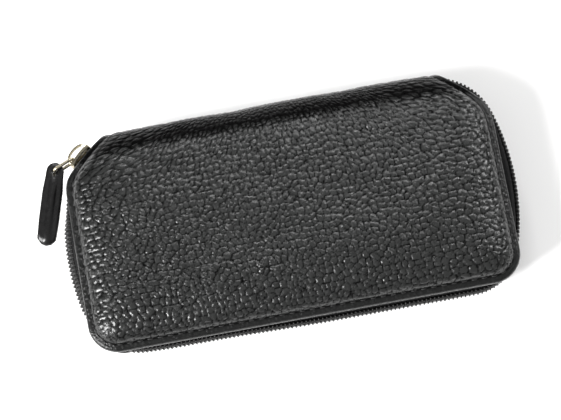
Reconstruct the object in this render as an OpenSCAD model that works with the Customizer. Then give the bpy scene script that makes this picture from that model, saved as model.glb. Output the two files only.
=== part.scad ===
// Zip-around leather case for several pairs of glasses.
// It lies on its back cover: X runs along the case, +Y points to the spine and +Z up.
// The origin is on the flat underside, below the middle of the case. Units are mm.

/* [Case] */
// Length of the leather cover
case_len = 170; // [160:1:185]
// Front edge of the leather to the outermost line of the spine
case_depth = 88; // [80:1:96]
// Thickness of the closed case over both covers
case_thick = 36; // [30:0.5:42]
// Length of the spine between its two slanted ends
spine_len = 128; // [110:1:140]
// Corner radius of the covers at the front
corner_r = 12; // [8:0.5:16]
// Height of a cover's leather edge above the middle plane
rim_h = 9; // [6:0.5:11]

/* [Layers] */
// Leather thickness
leather_t = 1.2; // [0.8:0.1:1.8]
// Padding thickness
foam_t = 1.2; // [0.8:0.1:2]
// Stiffening board thickness
board_t = 0.9; // [0.6:0.1:1.5]
// Lining thickness
lining_t = 0.6; // [0.4:0.1:1]
// Distance of the edge seam from the leather edge
seam_inset = 4.4; // [3:0.1:6]
// Stitch spacing of the edge seam
stitch_pitch = 4; // [3:0.5:6]

/* [Zip] */
// Radius of the zip where it rounds the spine ends
zip_top_r = 23.3; // [18:0.1:28]
// Radius of the zip at the front corners
zip_corner_r = 19; // [14:0.5:24]
// Tape thickness
tape_t = 0.7; // [0.4:0.1:1]
// Width of one coil, across the zip
coil_w = 2.7; // [2:0.1:3.2]
// Thickness of the coil
coil_t = 2.2; // [1.6:0.1:2.6]

/* [Divider] */
// Half length of the padded divider
divider_x = 76; // [70:1:78]
// Divider padding thickness, each side
divider_pad_t = 0.9; // [0.6:0.1:1.4]

/* [Slider and pull] */
// Direction of the closed slider, seen from the centre of the zip's bend
slider_at = 131; // [125:1:140]
// Half width of the slider's outer blade
slider_half_w = 4.2; // [3.6:0.1:4.8]
// Diameter of the wire in the pull's link
wire_d = 1.4; // [1:0.1:1.8]
// Length of the link between its two bars
link_len = 8.5; // [6:0.5:11]
// Length of the leather pull from its hole to its tip
tab_len = 30.3; // [22:0.1:38]
// Width of the leather pull
tab_w = 8; // [6:0.5:10]
// Thickness of one leather layer of the pull
tab_layer = 1.4; // [1:0.1:1.8]

/* [Hidden] */
$fn = 48;

leather_black = [0.06, 0.06, 0.06];
foam_grey = [0.35, 0.35, 0.36];
board_grey = [0.45, 0.43, 0.4];
lining_grey = [0.2, 0.2, 0.21];
tape_black = [0.04, 0.04, 0.045];
coil_black = [0.03, 0.03, 0.03];
thread_black = [0.02, 0.02, 0.02];
nickel = [0.82, 0.78, 0.68];

half_len = case_len / 2;
mid_z = case_thick / 2;
spine_r = case_thick / 2;
front_y = -43;
spine_y = front_y + case_depth - spine_r;
slant_dx = half_len - spine_len / 2;
slant = slant_dx / spine_r;
slant_n = [spine_r, slant_dx] / norm([spine_r, slant_dx]);
joint_gap = 0.15;
layer_gap = 0.1;

// Zip path, right half: a bend at the spine end, a bowed side, a corner and the front.
zip_front_y = front_y - 1.2;
side_r = 95;
side_c = [half_len - 91.6, -1.5];
zip_end_x = 62;
top_c = [zip_end_x, 19.2];
top_a = 16.8;
low_a = 18.2;
low_c = [65.6, zip_front_y + zip_corner_r];
tape_edge = 1.6;
tape_spread = 5.5;
slider_mouth = 143;
spread_span = 18;

n_top = 14;
n_side = 7;
n_corner = 8;
n_front = 5;
profile_steps = 6;

function lerp(a, b, t) = a + (b - a) * t;
function smooth(t) = let (u = min(1, max(0, t))) u * u * (3 - 2 * u);
function unit(v) = v / norm(v);
function flip(p) = [-p[0], p[1]];
function polar(r, a) = [r * cos(a), r * sin(a)];
function flat(rows) = [for (row = rows) for (p = row) p];
function reversed(l) = [for (i = [len(l) - 1:-1:0]) l[i]];

// A cover's edge from the spine side round the front: [point, outward normal].
function edge_half(top_y) = concat(
    [for (i = [0:n_side]) [[half_len, lerp(top_y, front_y + corner_r, i / n_side)], [1, 0]]],
    [for (i = [1:n_corner]) let (a = -90 * i / n_corner)
        [[half_len - corner_r, front_y + corner_r] + polar(corner_r, a), polar(1, a)]],
    [for (i = [1:n_front]) [[(half_len - corner_r) * (1 - i / n_front), front_y], [0, -1]]]
);
function mirrored(half) = concat(
    half,
    [for (i = [len(half) - 2:-1:0]) [for (v = half[i]) is_list(v) ? flip(v) : v]]
);

// Cross-sections of a cover's layers: [inset from the leather edge, height above the middle].
cover_out = [
    [0, rim_h], [0.15, rim_h + 2], [0.9, rim_h + 4.2], [2.4, mid_z - 2.8],
    [4.6, mid_z - 1.2], [7.5, mid_z - 0.3], [10.5, mid_z]
];
cover_in = [
    [leather_t, rim_h], [leather_t + 0.15, rim_h + 1.8], [leather_t + 0.8, rim_h + 3.6],
    [leather_t + 2.1, mid_z - 2.5 - leather_t], [leather_t + 4, mid_z - 1.1 - leather_t],
    [leather_t + 6.7, mid_z - 0.3 - leather_t], [10.5, mid_z - leather_t]
];
lining_top = mid_z - leather_t - foam_t - board_t - 3 * layer_gap - 0.3;
lining_out = [
    [2.6, rim_h - 0.5], [2.8, rim_h + 1.5], [3.6, rim_h + 3],
    [5.2, lining_top - 0.8], [8, lining_top]
];
lining_in = [
    [2.6 + lining_t, rim_h - 0.5], [2.8 + lining_t, rim_h + 1.3],
    [3.5 + lining_t, rim_h + 2.6], [5 + lining_t, lining_top - 0.7 - lining_t],
    [8, lining_top - lining_t]
];

// A closed solid between two grids of points that have the same number of rows and columns.
module grid_solid(outer, inner) {
    rows = len(outer);
    cols = len(outer[0]);
    m = rows * cols;
    faces = concat(
        [for (r = [0:rows - 2]) for (c = [0:cols - 2]) let (k = r * cols + c)
            each [[k, k + 1, k + cols + 1], [k, k + cols + 1, k + cols]]],
        [for (r = [0:rows - 2]) for (c = [0:cols - 2]) let (k = m + r * cols + c)
            each [[k, k + cols + 1, k + 1], [k, k + cols, k + cols + 1]]],
        [for (c = [0:cols - 2]) each [[c, m + c, m + c + 1], [c, m + c + 1, c + 1]]],
        [for (c = [0:cols - 2]) let (k = (rows - 1) * cols + c)
            each [[k, k + 1, m + k + 1], [k, m + k + 1, m + k]]],
        [for (r = [0:rows - 2]) let (k = r * cols)
            each [[k, k + cols, m + k + cols], [k, m + k + cols, m + k]]],
        [for (r = [0:rows - 2]) let (k = r * cols + cols - 1)
            each [[k, m + k + cols, k + cols], [k, m + k, m + k + cols]]]
    );
    polyhedron(points = concat(flat(outer), flat(inner)), faces = faces, convexity = 6);
}

// A shallow dish with one open side at top_y: its rim follows the cover's edge.
module dish(top_y, out, inn) {
    line = mirrored(edge_half(top_y));
    n = len(line);
    k = len(out);
    m = n * k + 1;
    outer = [for (s = out) for (e = line) let (p = e[0] - e[1] * s[0]) [p[0], p[1], mid_z + s[1]]];
    inner = [for (s = inn) for (e = line) let (p = e[0] - e[1] * s[0]) [p[0], p[1], mid_z + s[1]]];
    tip_out = [0, top_y, mid_z + out[k - 1][1]];
    tip_in = [0, top_y, mid_z + inn[k - 1][1]];
    last = (k - 1) * n;
    faces = concat(
        [for (r = [0:k - 2]) for (c = [0:n - 2]) let (a = r * n + c)
            each [[a, a + 1, a + n + 1], [a, a + n + 1, a + n]]],
        [for (c = [0:n - 2]) [last + c, last + c + 1, m - 1]],
        [for (r = [0:k - 2]) for (c = [0:n - 2]) let (a = m + r * n + c)
            each [[a, a + n + 1, a + 1], [a, a + n, a + n + 1]]],
        [for (c = [0:n - 2]) [m + last + c, 2 * m - 1, m + last + c + 1]],
        [for (c = [0:n - 2]) each [[c, m + c, m + c + 1], [c, m + c + 1, c + 1]]],
        [for (r = [0:k - 2]) let (a = r * n)
            each [[a, a + n, m + a + n], [a, m + a + n, m + a]]],
        [[last, m - 1, 2 * m - 1], [last, 2 * m - 1, m + last]],
        [for (r = [0:k - 2]) let (a = r * n + n - 1)
            each [[a, m + a + n, a + n], [a, m + a, m + a + n]]],
        [[last + n - 1, 2 * m - 1, m - 1], [last + n - 1, m + last + n - 1, 2 * m - 1]]
    );
    polyhedron(points = concat(outer, [tip_out], inner, [tip_in]), faces = faces, convexity = 6);
}

// A flat sheet with the cover's outline, inset all round its three free sides.
module sheet(inset, low, high) {
    line = mirrored(edge_half(spine_y - joint_gap));
    translate([0, 0, mid_z + low])
        linear_extrude(high - low)
            polygon([for (e = line) e[0] - e[1] * inset]);
}

// The same solid turned over to the back half.
module turned_over() {
    translate([0, 0, case_thick])
        mirror([0, 0, 1])
            children();
}

module cover() {
    color(leather_black) dish(spine_y - joint_gap, cover_out, cover_in);
}

module foam() {
    top = mid_z - leather_t - layer_gap;
    color(foam_grey) sheet(10.6, top - foam_t, top);
}

module board() {
    top = mid_z - leather_t - foam_t - 2 * layer_gap;
    color(board_grey) sheet(9, top - board_t, top);
}

module lining() {
    color(lining_grey) dish(spine_y - joint_gap, lining_out, lining_in);
}

module edge_stitch() {
    cube([2.4, 0.55, 0.6], center = true);
}

// The seam along a cover's edge, as separate stitches.
module edge_stitching() {
    line_x = half_len - seam_inset;
    line_y = front_y + seam_inset;
    arc_r = corner_r - seam_inset;
    side_n = floor((spine_y - front_y - corner_r - 2) / stitch_pitch);
    front_n = floor((half_len - corner_r) / stitch_pitch);
    z = 2 * mid_z - 1.3;
    color(thread_black) {
        for (s = [-1, 1]) {
            for (i = [0:side_n])
                translate([s * line_x, front_y + corner_r + i * stitch_pitch, z])
                    rotate([0, 0, 90])
                        edge_stitch();
            for (a = [22.5, 67.5])
                translate([s * (half_len - corner_r + arc_r * cos(a)), front_y + corner_r - arc_r * sin(a), z])
                    rotate([0, 0, s * (90 - a)])
                        edge_stitch();
            for (i = [1:front_n])
                translate([s * i * stitch_pitch, line_y, z])
                    edge_stitch();
        }
        translate([0, line_y, z])
            edge_stitch();
    }
}

// One station of the zip: [edge point, its normal, coil point, its normal, height of the top, bend angle].
function zip_half() = concat(
    [for (i = [0:n_top]) let (
        t = i / n_top,
        a = lerp(90, top_a, t),
        y = lerp(spine_y + spine_r - 1.5, spine_y, t),
        p = [half_len - (y - spine_y) * slant, y],
        h = sqrt(spine_r * spine_r - (y - spine_y) * (y - spine_y)) * rim_h / spine_r
    ) [p, slant_n, top_c + polar(zip_top_r, a), polar(1, a), lerp(0.9 * h - 0.3, rim_h - 0.5, t * t * t * t), a]],
    [for (i = [1:n_side]) let (t = i / n_side, a = lerp(top_a, -low_a, t))
        [[half_len, lerp(spine_y, front_y + corner_r, t)], [1, 0], side_c + polar(side_r, a), polar(1, a), rim_h - 0.15, 0]],
    [for (i = [1:n_corner]) let (t = i / n_corner, a = lerp(-low_a, -90, t), b = -90 * t)
        [[half_len - corner_r, front_y + corner_r] + polar(corner_r, b), polar(1, b),
            low_c + polar(zip_corner_r, a), polar(1, a), rim_h - 0.15, 0]],
    [for (i = [1:n_front]) let (t = 1 - i / n_front)
        [[(half_len - corner_r) * t, front_y], [0, -1], [low_c[0] * t, zip_front_y], [0, -1], rim_h - 0.15, 0]]
);

// The tapes part before the slider, on the left.
function spread(s, left) = !left || s[5] == 0 ? tape_edge
    : max(tape_edge, min(
        lerp(tape_edge, tape_spread, (s[5] - (180 - slider_mouth)) / spread_span),
        tape_spread, s[4] - 1.2));

function tape_rows(shift) = let (half = zip_half(), n = len(half))
    [for (j = [0:profile_steps]) [for (i = [0:2 * n - 2])
        let (
            left = i > n - 1,
            s = half[left ? 2 * n - 2 - i : i],
            q = j / profile_steps,
            normal = unit(lerp(s[1], s[3], smooth(q * 1.5))),
            p = lerp(s[0] - 0.3 * s[1], s[2] + 0.35 * s[3], smooth(q * 1.5)) - normal * shift,
            f = left ? flip(p) : p
        ) [f[0], f[1], mid_z + lerp(s[4], spread(s, left), q)]]];

module zip_tape() {
    color(tape_black) grid_solid(tape_rows(0), tape_rows(tape_t));
}

// The coil runs from the slider's mouth on the left to the zip's end on the right.
function coil_rows(r) = let (half = zip_half(), n = len(half))
    [for (z = [0.15, 0.15 + coil_w / 2, 0.15 + coil_w]) [for (i = [0:2 * n - 2])
        let (left = i > n - 1, s = half[left ? 2 * n - 2 - i : i])
        if (i > 0 && (!left || s[5] < 180 - slider_mouth - 1.5))
            let (
                out = r * (z > 1 && z < 2 ? coil_t / 2 : coil_t / 2 - 0.35),
                p = s[2] + s[3] * out,
                f = left ? flip(p) : p
            )
            [f[0], f[1], mid_z + z]]];

module zip_coil() {
    color(coil_black) grid_solid(reversed(coil_rows(1)), reversed(coil_rows(-1)));
}

// The leather wraps the spine; its slanted ends roll down like the covers' edges.
function spine_rows(profile, r, full) = [for (i = [0:24])
    let (
        a = lerp(89.5, -89.5, i / 24),
        y = spine_y + r * cos(a),
        x = half_len - spine_r * cos(a) * slant,
        k = len(profile)
    )
    [for (j = [0:2 * k - 1])
        let (s = profile[j < k ? j : 2 * k - 1 - j], dx = s[0] * (1 + 0.54 * cos(a)))
        [(j < k ? 1 : -1) * (x - dx), y, mid_z + r * sin(a) * s[1] / full]]];

module spine_cover() {
    color(leather_black)
        grid_solid(
            spine_rows(cover_out, spine_r, mid_z),
            spine_rows(cover_in, spine_r - leather_t, mid_z - leather_t)
        );
}

// A half pipe along the spine, trimmed parallel to its slanted ends.
module spine_layer(r_out, r_in, inset) {
    x0 = half_len - inset;
    x1 = spine_len / 2 - inset * 0.8;
    intersection() {
        translate([-half_len, spine_y, mid_z])
            rotate([90, 0, 90])
                difference() {
                    cylinder(r = r_out, h = case_len);
                    translate([0, 0, -1])
                        cylinder(r = r_in, h = case_len + 2);
                }
        translate([0, 0, -1])
            linear_extrude(case_thick + 2)
                polygon([
                    [-x0, spine_y + joint_gap], [x0, spine_y + joint_gap],
                    [x1, spine_y + spine_r], [-x1, spine_y + spine_r]
                ]);
    }
}

module spine_foam() {
    color(foam_grey)
        spine_layer(mid_z - leather_t - 2 * layer_gap, lining_top + layer_gap, 19);
}

module spine_lining() {
    color(lining_grey)
        spine_layer(lining_top, lining_top - lining_t, 8);
}

// Divider outline with slanted corners at the spine and rounded corners at the front.
module divider_outline(inset) {
    x = divider_x - inset;
    y0 = -38 + inset;
    y1 = spine_y + 12.6;
    r = 10 - inset;
    difference() {
        polygon([
            [-x, y0], [x, y0], [x, spine_y - 5 - inset * 0.4], [60 - inset * 0.6, y1],
            [-60 + inset * 0.6, y1], [-x, spine_y - 5 - inset * 0.4]
        ]);
        for (s = [-1, 1])
            translate([s * (x - r), y0 + r])
                difference() {
                    translate([s > 0 ? 0 : -r - 1, -r - 1])
                        square([r + 1, r + 1]);
                    circle(r = r);
                }
    }
}

module divider_core() {
    color(board_grey)
        translate([0, 0, mid_z - 0.4])
            linear_extrude(0.8)
                divider_outline(2.4);
}

module divider_pad() {
    color(lining_grey)
        translate([0, 0, mid_z + 0.45])
            linear_extrude(divider_pad_t)
                divider_outline(2.4);
}

module divider_binding() {
    top = 0.5 + divider_pad_t;
    color(tape_black)
        translate([0, 0, mid_z - top])
            linear_extrude(2 * top)
                difference() {
                    divider_outline(0);
                    divider_outline(2.3);
                    translate([-60, spine_y + 11])
                        square([120, 4]);
                }
}

// Part of a ring about the centre of the zip's left bend.
module bend_part(r_in, r_out, half_z, from, to) {
    translate([-top_c[0], top_c[1], mid_z])
        rotate([0, 0, slider_at + from])
            rotate_extrude(angle = to - from)
                translate([r_in, -half_z])
                    square([r_out - r_in, 2 * half_z]);
}

link_at = 6.5;
link_r = zip_top_r + 3.8;

module slider_body() {
    color(nickel)
        union() {
            bend_part(zip_top_r + 1.8, zip_top_r + 2.8, slider_half_w, -12, 13);
            bend_part(zip_top_r + 0.9, zip_top_r + 1.9, 0.6, -12, -7);
            bend_part(zip_top_r - 3.4, zip_top_r - 2.4, slider_half_w - 0.6, -12, 13);
            bend_part(zip_top_r - 2.6, zip_top_r + 2, 1.3, -12, -8);
            bend_part(zip_top_r + 2.6, zip_top_r + 6.2, 1.5, -9.5, -7.3);
            bend_part(zip_top_r + 2.6, zip_top_r + 6.2, 1.5, 8.4, 10.6);
            bend_part(zip_top_r + 5.2, zip_top_r + 6.2, 1.5, -9.5, 10.6);
        }
}

link_base = [-top_c[0], top_c[1]] + polar(link_r, slider_at + link_at);
link_dir = 203;
link_tip = link_base + polar(link_len, link_dir);
link_h = 3;

// A wire loop that stands on edge: one bar under the slider's bridge, one through the pull.
module pull_link() {
    r = wire_d / 2;
    color(nickel)
        union() {
            for (p = [link_base, link_tip])
                translate([p[0], p[1], mid_z - link_h - r])
                    cylinder(r = r, h = 2 * (link_h + r), $fn = 24);
            for (s = [-1, 1])
                translate([link_base[0], link_base[1], mid_z + s * link_h])
                    rotate([0, 90, link_dir])
                        cylinder(r = r - 0.05, h = link_len, $fn = 24);
        }
}

tab_dir = 254;
tab_head_r = 3.4;

// One leather layer of the pull, with the hole that the wire passes through.
module pull_tab_layer() {
    far = tab_len - tab_w / 2;
    translate([link_tip[0], link_tip[1], mid_z + 0.02])
        rotate([0, 0, tab_dir])
            linear_extrude(tab_layer)
                difference() {
                    union() {
                        circle(r = tab_head_r);
                        translate([far, 0])
                            circle(r = tab_w / 2);
                        polygon([
                            [0, -tab_head_r], [far, -tab_w / 2],
                            [far, tab_w / 2], [0, tab_head_r]
                        ]);
                    }
                    circle(r = wire_d / 2 + 0.1, $fn = 24);
                }
}

module pull_tab_upper() {
    color(leather_black) pull_tab_layer();
}

module pull_tab_lower() {
    color(leather_black) turned_over() pull_tab_layer();
}

turned_over() cover();  // back_cover
turned_over() foam();  // back_foam
turned_over() board();  // back_board
turned_over() lining();  // back_lining
turned_over() zip_tape();  // back_zip_tape
turned_over() zip_coil();  // back_zip_coil
turned_over() edge_stitching();  // back_edge_stitching
spine_cover();
spine_foam();
spine_lining();
cover();  // front_cover
foam();  // front_foam
board();  // front_board
lining();  // front_lining
zip_tape();  // front_zip_tape
zip_coil();  // front_zip_coil
edge_stitching();  // front_edge_stitching
divider_core();
divider_pad();  // divider_front_pad
turned_over() divider_pad();  // divider_back_pad
divider_binding();
slider_body();
pull_link();
pull_tab_upper();
pull_tab_lower();
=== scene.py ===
import math

import bpy
import numpy as np
from mathutils import Matrix, Vector


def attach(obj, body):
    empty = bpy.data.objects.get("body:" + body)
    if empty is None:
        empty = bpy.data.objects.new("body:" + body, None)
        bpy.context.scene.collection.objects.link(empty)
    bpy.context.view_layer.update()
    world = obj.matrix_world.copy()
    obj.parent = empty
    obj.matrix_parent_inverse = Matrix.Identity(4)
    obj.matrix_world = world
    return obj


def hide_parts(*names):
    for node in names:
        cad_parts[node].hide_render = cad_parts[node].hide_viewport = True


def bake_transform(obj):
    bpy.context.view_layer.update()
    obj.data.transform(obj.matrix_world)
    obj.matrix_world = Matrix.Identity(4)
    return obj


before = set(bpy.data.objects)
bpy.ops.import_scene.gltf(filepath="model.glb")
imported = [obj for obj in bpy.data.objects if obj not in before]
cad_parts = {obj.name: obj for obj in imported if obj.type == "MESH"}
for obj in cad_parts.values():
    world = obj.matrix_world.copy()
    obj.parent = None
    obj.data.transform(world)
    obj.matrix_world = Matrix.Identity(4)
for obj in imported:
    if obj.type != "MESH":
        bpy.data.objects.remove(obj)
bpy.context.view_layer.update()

# Everything below is laid out in millimetres and turned into metres when a mesh is made.
MM = 0.001
MID = 18.0  # height of the plane where the zip closes
HALF_LEN = 85.0  # the leather's reach to the right
LEFT_MORE = 1.2  # how much further it reaches to the left
FRONT_Y = -44.3  # the leather's front edge
SPINE_Y, SPINE_R = 27.0, 18.0  # where the spine's bend starts, and its radius
SPINE_END_L, SPINE_END_R = 68.0, 66.6  # the spine's ends, left and right of the middle
CORNER_R = 12.0  # the front corners' radius
EDGE_H = 9.0  # the leather edge's height over the middle plane
RIM_W = 22.0  # width of the climb from an edge to the full height
BAND = 2.3  # the seam's distance from the leather's edge
LEATHER = 1.2  # the hide's thickness
NOISE_TILE, CELL_TILE = 96, 128  # cells after which the two random fields repeat


# ---------------------------------------------------------------- small tools
def mesh_object(name, verts, faces, material, smooth=True, uv=None):
    """A mesh in the scene. A map given for one face of a shell serves both."""
    me = bpy.data.meshes.new(name)
    me.from_pydata((np.asarray(verts, float) * MM).tolist(), [], faces)
    me.update()
    if smooth:
        me.polygons.foreach_set("use_smooth", [True] * len(me.polygons))
    if uv is not None:
        layer = me.uv_layers.new(name="UVMap")
        idx = np.zeros(len(me.loops), int)
        me.loops.foreach_get("vertex_index", idx)
        layer.data.foreach_set("uv", (np.resize(uv, (len(verts), 2))[idx] * MM * 10).astype(np.float32).ravel())
    me.materials.append(material)
    ob = bpy.data.objects.new(name, me)
    bpy.context.scene.collection.objects.link(ob)
    return ob


def grid_faces(rows, cols, base=0, flip=False, wrap=False):
    out = []
    last = cols if wrap else cols - 1
    for r in range(rows - 1):
        for c in range(last):
            a, b = base + r * cols + c, base + r * cols + (c + 1) % cols
            d, e = a + cols, b + cols
            out.append((a, d, e, b) if flip else (a, b, e, d))
    return out


def bridge(a, b, n):
    """Faces between two closed rings of n points that start at a and b."""
    return [(a + c, a + (c + 1) % n, b + (c + 1) % n, b + c) for c in range(n)]


def shell(outer, inner):
    """Closed solid between two point grids of the same size."""
    rows, cols = outer.shape[:2]
    m = rows * cols
    faces = grid_faces(rows, cols) + grid_faces(rows, cols, m, flip=True)
    for c in range(cols - 1):
        faces.append((c, m + c, m + c + 1, c + 1))
        k = (rows - 1) * cols + c
        faces.append((k, k + 1, m + k + 1, m + k))
    for r in range(rows - 1):
        k = r * cols
        faces.append((k, k + cols, m + k + cols, m + k))
        k += cols - 1
        faces.append((k, m + k, m + k + cols, k + cols))
    return np.concatenate([outer.reshape(-1, 3), inner.reshape(-1, 3)]), faces


def tube(points, radius, sides=10, closed=False, up=(0, 0, 1)):
    """A round bar along points. Each end of an open one is closed with a small dome."""
    p = np.asarray(points, float)
    n = len(p)
    rad = np.broadcast_to(np.asarray(radius, float), (n,)).copy()
    if closed:
        t = np.roll(p, -1, 0) - np.roll(p, 1, 0)
    else:
        t = np.gradient(p, axis=0)
    t /= np.linalg.norm(t, axis=1)[:, None]
    ref = np.broadcast_to(np.asarray(up, float), (n, 3))
    s = np.cross(t, ref)
    s /= np.maximum(np.linalg.norm(s, axis=1)[:, None], 1e-9)
    w = np.cross(s, t)
    a = np.linspace(0, 2 * np.pi, sides, endpoint=False)
    ring = s[:, None] * np.cos(a)[None, :, None] + w[:, None] * np.sin(a)[None, :, None]
    v = p[:, None] + ring * rad[:, None, None]
    verts = v.reshape(-1, 3)
    faces = grid_faces(n, sides, wrap=True)
    if closed:
        faces += bridge((n - 1) * sides, 0, sides)
    else:
        verts = np.concatenate([verts, [p[0] - t[0] * rad[0] * 0.4, p[-1] + t[-1] * rad[-1] * 0.4]])
        i0, i1 = len(verts) - 2, len(verts) - 1
        for c in range(sides):
            faces.append((c, i0, (c + 1) % sides))
            k = (n - 1) * sides
            faces.append((k + c, k + (c + 1) % sides, i1))
    return verts, faces


def joined(parts):
    verts, faces, base = [], [], 0
    for v, f in parts:
        verts.append(np.asarray(v, float))
        faces += [tuple(i + base for i in q) for q in f]
        base += len(v)
    return np.concatenate(verts), faces


def smoothstep(x, a=0.0, b=1.0):
    t = np.clip((x - a) / (b - a), 0, 1)
    return t * t * (3 - 2 * t)


def lengths(points):
    """How far each point lies along the line through them all."""
    return np.concatenate([[0], np.cumsum(np.linalg.norm(np.diff(points, axis=0), axis=1))])


def even_ring(points, n):
    """n points evenly spaced round a closed outline."""
    closed = np.vstack([points, points[:1]])
    s = lengths(closed)
    at = np.linspace(0, s[-1], n, endpoint=False)
    return np.stack([np.interp(at, s, closed[:, k]) for k in range(2)], 1)


def soft_curve(points, n):
    """Points of a smooth curve through the given ones, evenly spaced along it."""
    p = np.asarray(points, float)
    q = np.concatenate([[2 * p[0] - p[1]], p, [2 * p[-1] - p[-2]]])
    out = []
    for i in range(1, len(q) - 2):
        t = np.linspace(0, 1, 24, endpoint=False)[:, None]
        a, b, c, d = q[i - 1], q[i], q[i + 1], q[i + 2]
        out.append(0.5 * (2 * b + (c - a) * t + (2 * a - 5 * b + 4 * c - d) * t**2
                          + (3 * b - a - 3 * c + d) * t**3))
    out = np.concatenate(out + [p[-1:]])
    s = lengths(out)
    at = np.linspace(0, s[-1], n)
    return np.stack([np.interp(at, s, out[:, k]) for k in range(out.shape[1])], 1)


def value_noise(x, y, cell, seed):
    """Smooth noise between -1 and 1 with features about one cell wide."""
    g = np.random.default_rng(seed).uniform(-1, 1, (NOISE_TILE, NOISE_TILE))
    u, v = x / cell + 40.3, y / cell + 40.7
    i, j = np.floor(u).astype(int), np.floor(v).astype(int)
    f, h = u - i, v - j
    f, h = f * f * (3 - 2 * f), h * h * (3 - 2 * h)
    at = lambda a, b: g[a % NOISE_TILE, b % NOISE_TILE]
    return (at(i, j) * (1 - f) * (1 - h) + at(i + 1, j) * f * (1 - h)
            + at(i, j + 1) * (1 - f) * h + at(i + 1, j + 1) * f * h)


def cells(x, y, size, seed):
    """Distances to the nearest two of a field of scattered points, in cell sizes, and the nearest's own number."""
    rng = np.random.default_rng(seed)
    jx, jy, own = rng.uniform(0.12, 0.88, (3, CELL_TILE, CELL_TILE))
    u, v = x / size + 50, y / size + 50
    i, j = np.floor(u).astype(int), np.floor(v).astype(int)
    f1 = np.full(x.shape, 9.0)
    f2 = np.full(x.shape, 9.0)
    who = np.zeros(x.shape)
    for di in (-1, 0, 1):
        for dj in (-1, 0, 1):
            a, b = (i + di) % CELL_TILE, (j + dj) % CELL_TILE
            d = np.hypot(i + di + jx[a, b] - u, j + dj + jy[a, b] - v)
            nearer = d < f1
            f2 = np.where(nearer, f1, np.minimum(f2, d))
            who = np.where(nearer, own[a, b], who)
            f1 = np.where(nearer, d, f1)
    return f1, f2, who


# ---------------------------------------------------------------- materials
def new_material(name):
    m = bpy.data.materials.new(name)
    m.use_nodes = True
    nt = m.node_tree
    nt.nodes.clear()
    out = nt.nodes.new("ShaderNodeOutputMaterial")
    bsdf = nt.nodes.new("ShaderNodeBsdfPrincipled")
    nt.links.new(bsdf.outputs[0], out.inputs[0])
    return m, nt, bsdf


def node(nt, kind, **values):
    n = nt.nodes.new(kind)
    for k, v in values.items():
        if k.startswith("in_"):
            key = k[3:].replace("_", " ")
            n.inputs[key].default_value = v
        else:
            setattr(n, k, v)
    return n


def ramp(nt, stops, source):
    r = nt.nodes.new("ShaderNodeValToRGB")
    r.color_ramp.elements[0].position, r.color_ramp.elements[0].color = stops[0]
    r.color_ramp.elements[1].position, r.color_ramp.elements[1].color = stops[-1]
    for pos, col in stops[1:-1]:
        e = r.color_ramp.elements.new(pos)
        e.color = col
    nt.links.new(source, r.inputs[0])
    return r


def grey(v):
    return (v, v, v, 1)


def bump(nt, height, strength, distance, after=None):
    b = node(nt, "ShaderNodeBump")
    b.inputs["Strength"].default_value = strength
    b.inputs["Distance"].default_value = distance
    nt.links.new(height, b.inputs["Height"])
    if after:
        nt.links.new(after, b.inputs["Normal"])
    return b.outputs[0]


def leather_material(name, smooth_hide=False):
    m, nt, bsdf = new_material(name)
    uv = node(nt, "ShaderNodeUVMap", uv_map="UVMap")
    fine = node(nt, "ShaderNodeTexVoronoi", feature="F1", in_Scale=72.0)
    pores = node(nt, "ShaderNodeTexNoise", in_Scale=300.0, in_Detail=3.0)
    broad = node(nt, "ShaderNodeTexNoise", in_Scale=2.6, in_Detail=2.0)
    wrinkle = node(nt, "ShaderNodeTexNoise", in_Scale=44.0, in_Detail=4.0, in_Distortion=1.2)
    for t in (fine, pores, broad, wrinkle):
        nt.links.new(uv.outputs[0], t.inputs["Vector"])
    edge = ramp(nt, [(0.05, grey(1)), (0.62, grey(0))], fine.outputs["Distance"])
    if smooth_hide:
        n1 = bump(nt, wrinkle.outputs[0], 0.35, 0.00012)
        n2 = bump(nt, pores.outputs[0], 0.25, 0.00004, n1)
        stops = [(0.3, (0.0032, 0.0031, 0.0032, 1)), (0.7, (0.006, 0.0058, 0.006, 1))]
        base = ramp(nt, stops, broad.outputs[0])
        rough = ramp(nt, [(0.3, grey(0.22)), (0.7, grey(0.36))], wrinkle.outputs[0])
        nt.links.new(base.outputs[0], bsdf.inputs["Base Color"])
        bsdf.inputs["Specular IOR Level"].default_value = 0.34
    else:
        # Painted shade: a stored per-point shade amount darkens the base colour and lowers the specular level in
        # the grain's creases, along the seam's groove, on the stitched band and over the spine's turn.
        painted_shade = node(nt, "ShaderNodeAttribute", attribute_name="painted_shade")
        n0 = bump(nt, wrinkle.outputs[0], 0.45, 0.00022)
        n1 = bump(nt, edge.outputs[0], 0.5, 0.0002, n0)
        n2 = bump(nt, pores.outputs[0], 0.5, 0.00008, n1)
        stops = [(0.1, (0.0052, 0.0056, 0.0053, 1)), (0.9, grey(0.0012))]
        base = ramp(nt, stops, painted_shade.outputs["Fac"])
        shine = ramp(nt, [(0.1, grey(0.62)), (0.9, grey(0.04))], painted_shade.outputs["Fac"])
        rough = ramp(nt, [(0.25, grey(0.24)), (0.75, grey(0.38))], wrinkle.outputs[0])
        nt.links.new(base.outputs[0], bsdf.inputs["Base Color"])
        nt.links.new(shine.outputs[0], bsdf.inputs["Specular IOR Level"])
    nt.links.new(n2, bsdf.inputs["Normal"])
    nt.links.new(rough.outputs[0], bsdf.inputs["Roughness"])
    return m


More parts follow.
